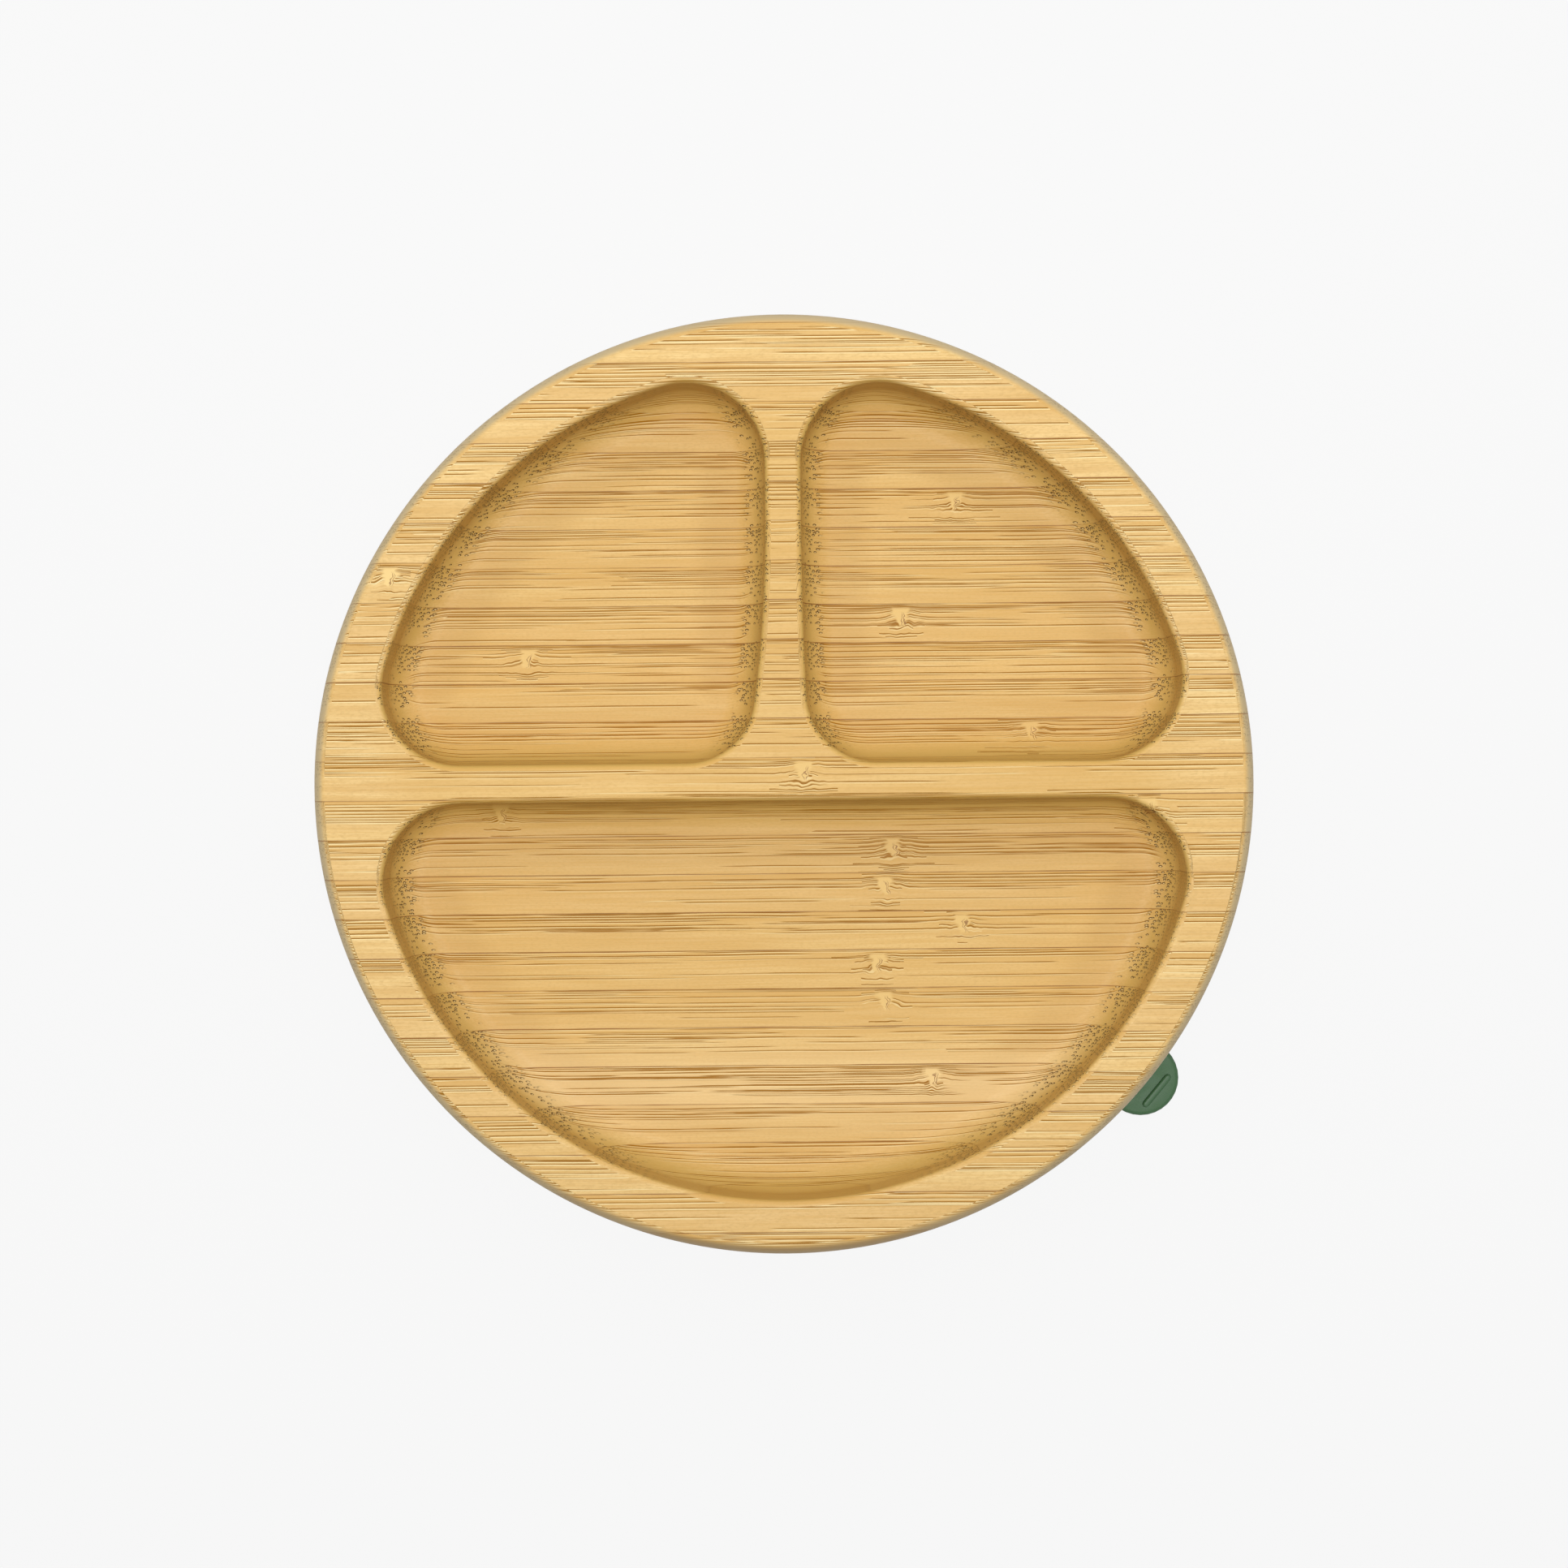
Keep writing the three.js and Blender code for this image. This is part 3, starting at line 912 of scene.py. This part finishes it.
def bamboo(number, back, joints):
    """Bamboo of one strip: fibre bundles along X, dense and dark at its back, and glue at its joints."""
    draw = random.Random(number)
    graph = Graph(bpy.data.materials.new(f"bamboo_{number:02d}"))
    spot = StripSpot(graph, number, back, draw.uniform(0, FARTHEST_SHIFT))
    lines, pale_lines = lines_along(graph, spot, draw)
    pits, pale_eyes = dots_across(graph, spot)

    # Painted shade: the strips at the front are darker and browner, on the outer edge most of all, as the
    # light falls from behind.
    front_shade = FRONT_SHADE_SHARES[number - 1] if number <= len(FRONT_SHADE_SHARES) else 0.0
    other = ROSE if number % PALE_EVERY else PALE
    own = blended(HONEY, other, draw.random())
    own = blended(own, FRONT_SHADE, front_shade * FRONT_SHADE_SHARE)
    outer = blended(OUTER_EDGE, FRONT_EDGE_SHADE, front_shade)

    fibre_place = graph.vector(
        spot.along / FIBRE_LENGTH, spot.fibre_y * FIBRE_FINENESS, spot.fibre_z * FIBRE_FINENESS)
    fibres = graph.noise(fibre_place, detail=FIBRE_DETAIL)
    ground = strip_ground(graph, spot, own, fibres)
    # Pale bundle lines and eyes, partly a painted highlight on the lit side of grooves and pits
    ground = graph.mix(graph.limit(pale_lines + pale_eyes) * PALE_SHARE, ground, BUNDLE_PALE_AND_HIGHLIGHT)
    ground = painted_shade_and_light(graph, spot, ground)
    ground = graph.mix(spot.outside * EDGE_SHARE, ground, outer)
    colour = graph.mix(graph.limit(lines * LINE_COLOUR_SHARE), ground, LINE_BROWN)
    colour = graph.mix(pits, colour, PIT_BROWN)
    colour = graph.mix(spot.marks * MARK_SHARE, colour, MARK_BROWN)
    seam = glue_line(graph, spot, joints)
    colour = graph.mix(seam, colour, SEAM_BROWN)

    relief = fibres * FIBRE_RELIEF - lines - pits - seam
    bump = graph.add("Bump", {"Height": relief, "Strength": BAMBOO_BUMP, "Distance": BAMBOO_RELIEF})[0]
    shader = graph.add("BsdfPrincipled", {
        "Base Color": colour,
        "Roughness": fibres * FIBRE_ROUGHNESS + BAMBOO_ROUGHNESS,
        "Normal": bump,
        "Specular IOR Level": BAMBOO_SPECULAR,
    })
    return graph.surface(shader[0])


def silicone():
    """Matt green silicone, with a faint bloom and a fine moulded grain."""
    graph = Graph(bpy.data.materials.new("silicone"))
    place = graph.vector(*graph.place())
    bloom = graph.ramp(graph.noise(place, BLOOM_SCALE, BLOOM_DETAIL), *BLOOM_BAND)
    grain = graph.noise(place, GRAIN_SCALE)
    colour = graph.mix(bloom * BLOOM_SHARE, GREEN, GREEN_BLOOM)
    colour = graph.mix(graph.ramp(grain, *GRAIN_BAND, 0.0, GRAIN_SHARE), colour, GREEN_GRAIN)
    bump = graph.add("Bump", {"Height": grain, "Strength": SILICONE_BUMP, "Distance": SILICONE_RELIEF})[0]
    shader = graph.add("BsdfPrincipled", {
        "Base Color": colour,
        "Roughness": bloom * BLOOM_ROUGHNESS + SILICONE_ROUGHNESS,
        "Normal": bump,
    })
    return graph.surface(shader[0])


def in_view(graph):
    """1 for what is seen, also in a mirror or through glass, and 0 for what only gives light."""
    path = graph.add("LightPath")
    mirrored = graph.larger(path["Is Glossy Ray"], path["Is Transmission Ray"])
    return graph.larger(path["Is Camera Ray"], mirrored)


def floor_finish(colour):
    """A pale floor that is seen mostly as an even tone, with the object's shadow on it."""
    graph = Graph(bpy.data.materials.new("floor"))
    cloth = graph.add("BsdfDiffuse", {"Color": FLOOR_GREY})[0]
    glow = graph.add("Emission", {"Color": colour, "Strength": FLOOR_GLOW})[0]
    both = graph.add("MixShader", {0: in_view(graph) * FLOOR_GLOW_SHARE, 1: cloth, 2: glow})[0]
    return graph.surface(both)


# Pieces

def make_strips():
    plate = plate_shell()
    for number, (name, (low, high)) in enumerate(zip(strip_names, strip_boxes), start=1):
        front_joint = low.y - glue / 2
        back_joint = high.y + glue / 2
        joints = [joint for joint in (front_joint, back_joint) if abs(joint) < plate_radius - glue]
        mesh = cut_strip(plate, front_joint, back_joint)
        strip = add_object(f"strip_{number:02d}", mesh, bamboo(number, high.y, joints))
        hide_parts(name)
        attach(strip, "plate")
    bpy.data.meshes.remove(plate)


def rounded_corner(radius, top, rounding):
    """Points of (radius, height) round an outer top corner, from its top down."""
    turn = quarter_turn(EDGE_STEPS)
    return [(radius - rounding + rounding * s, top - rounding + rounding * c) for c, s in turn]


def ring_profile():
    """Section of the suction ring as (radius, height), round from its grip on the boss by way of the foot."""
    inner = boss_radius + SILICONE_FIT
    wall = collar_radius - COLLAR_WALL
    skirt_outer = collar_radius + SILICONE_FIT + SKIRT_WALL
    flange = collar_top - COLLAR_FLANGE
    shoulder = rounded_corner(collar_radius, collar_top, COLLAR_ROUND)
    step = rounded_corner(skirt_outer, skirt_top, SKIRT_ROUND)
    start = Vector((skirt_outer, skirt_top - SKIRT_ROUND))
    pull = Vector((skirt_outer, SKIRT_LIP + SKIRT_WALL))
    end = Vector((skirt_radius, SKIRT_LIP))
    shares = [i / FILLET_STEPS for i in range(1, FILLET_STEPS + 1)]
    flare = [tuple((1 - t) ** 2 * start + 2 * t * (1 - t) * pull + t ** 2 * end) for t in shares]
    lip = [(skirt_radius - SKIRT_LIP / 2 + SKIRT_LIP / 2 * c, SKIRT_LIP / 2 - SKIRT_LIP / 2 * s)
           for c, s in quarter_turn(EDGE_STEPS)]
    inside = [
        (skirt_radius - FOOT_WIDTH, 0),
        (collar_radius, collar_bottom - COLLAR_INNER_EASE),
        (collar_radius - COLLAR_FOOT_EASE, collar_bottom),
        (wall + COLLAR_INNER_EASE, collar_bottom),
        (wall, collar_bottom + COLLAR_INNER_EASE),
        (wall, flange - COLLAR_INNER_EASE),
        (wall - COLLAR_INNER_EASE, flange),
        (inner + FLANGE_EASE, flange),
        (inner, flange + FLANGE_EASE),
        (inner, collar_top - COLLAR_TOP_EASE),
        (inner + COLLAR_TOP_EASE, collar_top),
    ]
    return shoulder + step + flare + lip + inside


def turned_mesh(name, profile):
    """A closed mesh of a section turned about Z."""
    body = bmesh.new()
    rings = []
    for i in range(TURN_STEPS):
        angle = 2 * math.pi * i / TURN_STEPS
        rings.append([body.verts.new((r * math.cos(angle), r * math.sin(angle), z)) for r, z in profile])
    for first, second in zip(rings, rings[1:] + rings[:1]):
        for j in range(len(profile)):
            body.faces.new((first[j - 1], first[j], second[j], second[j - 1]))
    return closed_mesh(body, name)


def closed_mesh(body, name):
    """The mesh of a closed bmesh, smooth but for its sharp edges."""
    bmesh.ops.recalc_face_normals(body, faces=body.faces)
    mesh = bpy.data.meshes.new(name)
    body.to_mesh(mesh)
    body.free()
    mesh.polygons.foreach_set("use_smooth", [True] * len(mesh.polygons))
    mesh.set_sharp_from_angle(angle=SHARP_EDGE)
    return mesh


def make_ring(material):
    ring = add_object("suction_ring", turned_mesh("suction_ring", ring_profile()), material)
    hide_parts("suction_collar", "suction_skirt")
    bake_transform(ring)


def pillow(body, outline, bottom, top, rounding):
    """A flat form with an outline of (point, normal) and rounded edges, as one closed shell."""
    turn = quarter_turn(EDGE_STEPS)
    levels = [(-rounding + rounding * s, bottom + rounding - rounding * c) for c, s in turn]
    levels += [(-rounding + rounding * c, top - rounding + rounding * s) for c, s in turn]
    rings = []
    for offset, height in levels:
        places = [point + offset * normal for point, normal in outline]
        rings.append([body.verts.new((place.x, place.y, height)) for place in places])
    for first, second in zip(rings, rings[1:]):
        for i in range(len(outline)):
            body.faces.new((first[i - 1], first[i], second[i], second[i - 1]))
    body.faces.new(rings[0])
    body.faces.new(rings[-1])


def tab_outline():
    """Outline of the tab along +X, from inside the skirt's lip to its round tip."""
    tip_x = plate_radius + TAB_REACH - TAB_TIP
    root_x = skirt_radius - TAB_OVERLAP
    spread = Vector((tip_x - root_x, TAB_ROOT))
    tangent = math.atan2(spread.x, spread.y) + math.asin(TAB_TIP / spread.length)
    side = Vector((math.cos(tangent), math.sin(tangent)))
    below = Vector((side.x, -side.y))
    return joined(
        [(Vector((root_x, TAB_ROOT)), side), (Vector((root_x, -TAB_ROOT)), below)],
        arc(tip_x, 0, TAB_TIP, -tangent, tangent),
    )


def grip_outline():
    """Outline of the raised bar across the tab's tip."""
    x = plate_radius + TAB_REACH - GRIP_INSET
    end = GRIP_LENGTH / 2 - GRIP_WIDTH / 2
    return joined(
        arc(x, end, GRIP_WIDTH / 2, 0, math.pi),
        arc(x, -end, GRIP_WIDTH / 2, math.pi, 2 * math.pi),
    )


def make_tab(material):
    top = TAB_LIFT + TAB_THICKNESS
    blade = bmesh.new()
    pillow(blade, tab_outline(), TAB_LIFT, top, TAB_EDGE)
    for i in range(1, BEND_CUTS + 1):
        geometry = blade.verts[:] + blade.edges[:] + blade.faces[:]
        x = skirt_radius - TAB_OVERLAP + i * BEND_STEP
        plane = {"plane_co": (x, 0, 0), "plane_no": (1, 0, 0)}
        bmesh.ops.bisect_plane(blade, geom=geometry, dist=CUT_TOLERANCE, **plane)
    tab = add_object("pull_tab_soft", closed_mesh(blade, "pull_tab"), material)
    bar = bmesh.new()
    pillow(bar, grip_outline(), top - GRIP_SINK, top + GRIP_RISE, GRIP_EDGE)
    grip = add_object("grip_bar", closed_mesh(bar, "grip_bar"), material)
    union = tab.modifiers.new("grip", "BOOLEAN")
    union.operation = "UNION"
    union.object = grip
    bpy.context.view_layer.update()
    joined_mesh = bpy.data.meshes.new_from_object(tab.evaluated_get(bpy.context.evaluated_depsgraph_get()))
    tab.modifiers.clear()
    tab.data = joined_mesh
    bpy.data.objects.remove(grip)
    tab.data.set_sharp_from_angle(angle=SHARP_TAB_EDGE)
    tab.rotation_euler.z = TAB_ANGLE
    bpy.context.view_layer.update()
    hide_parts("pull_tab")
    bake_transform(tab)


# Camera, floor and light

def make_camera():
    camera = bpy.data.objects.new("camera", bpy.data.cameras.new("camera"))
    camera.data.sensor_width = SENSOR
    camera.data.lens = FOCAL_PIXELS / PHOTO_SIZE * SENSOR
    camera.data.clip_start = CAMERA_NEAREST
    camera.location = (0, 0, plate_top + CAMERA_ABOVE_TOP)
    camera.rotation_euler.z = CAMERA_ROLL
    bpy.context.scene.collection.objects.link(camera)
    bpy.context.scene.camera = camera


def make_floor(colour):
    mesh = bpy.data.meshes.new("floor")
    corners = [(x * FLOOR_HALF, y * FLOOR_HALF, 0) for x, y in ((-1, -1), (1, -1), (1, 1), (-1, 1))]
    mesh.from_pydata(corners, [], [(0, 1, 2, 3)])
    add_object("floor", mesh, floor_finish(colour))


def make_world(colour, strength):
    """A surround seen as the background's tone, whose soft light is stronger from behind."""
    graph = Graph(bpy.data.worlds.new("surround"))
    backward = graph.add("SeparateXYZ", {0: graph.add("TexCoord")["Generated"]})[1]
    light = graph.add("Background", {"Strength": (backward * LIGHT_FROM_BEHIND + 1.0) * strength})[0]
    seen = graph.add("Background", {"Color": colour})[0]
    both = graph.add("MixShader", {0: in_view(graph), 1: light, 2: seen})[0]
    bpy.context.scene.world = graph.surface(both, "OutputWorld")


def make_lamp(name, place, aim, size, watts):
    """A square soft light that faces the place it is aimed at."""
    lamp = bpy.data.lights.new(name, "AREA")
    lamp.size = size
    lamp.energy = watts
    holder = bpy.data.objects.new(name, lamp)
    holder.location = place
    holder.rotation_euler = (Vector(aim) - Vector(place)).to_track_quat("-Z", "Y").to_euler()
    bpy.context.scene.collection.objects.link(holder)


make_camera()
make_strips()
green = silicone()
make_ring(green)
make_tab(green)
make_floor(BACKGROUND)
make_world(BACKGROUND, SURROUND_LIGHT)
make_lamp("key", LAMP_PLACE, LAMP_AIM, LAMP_SIZE, LAMP_WATTS)
bpy.context.scene.view_settings.view_transform = "Standard"
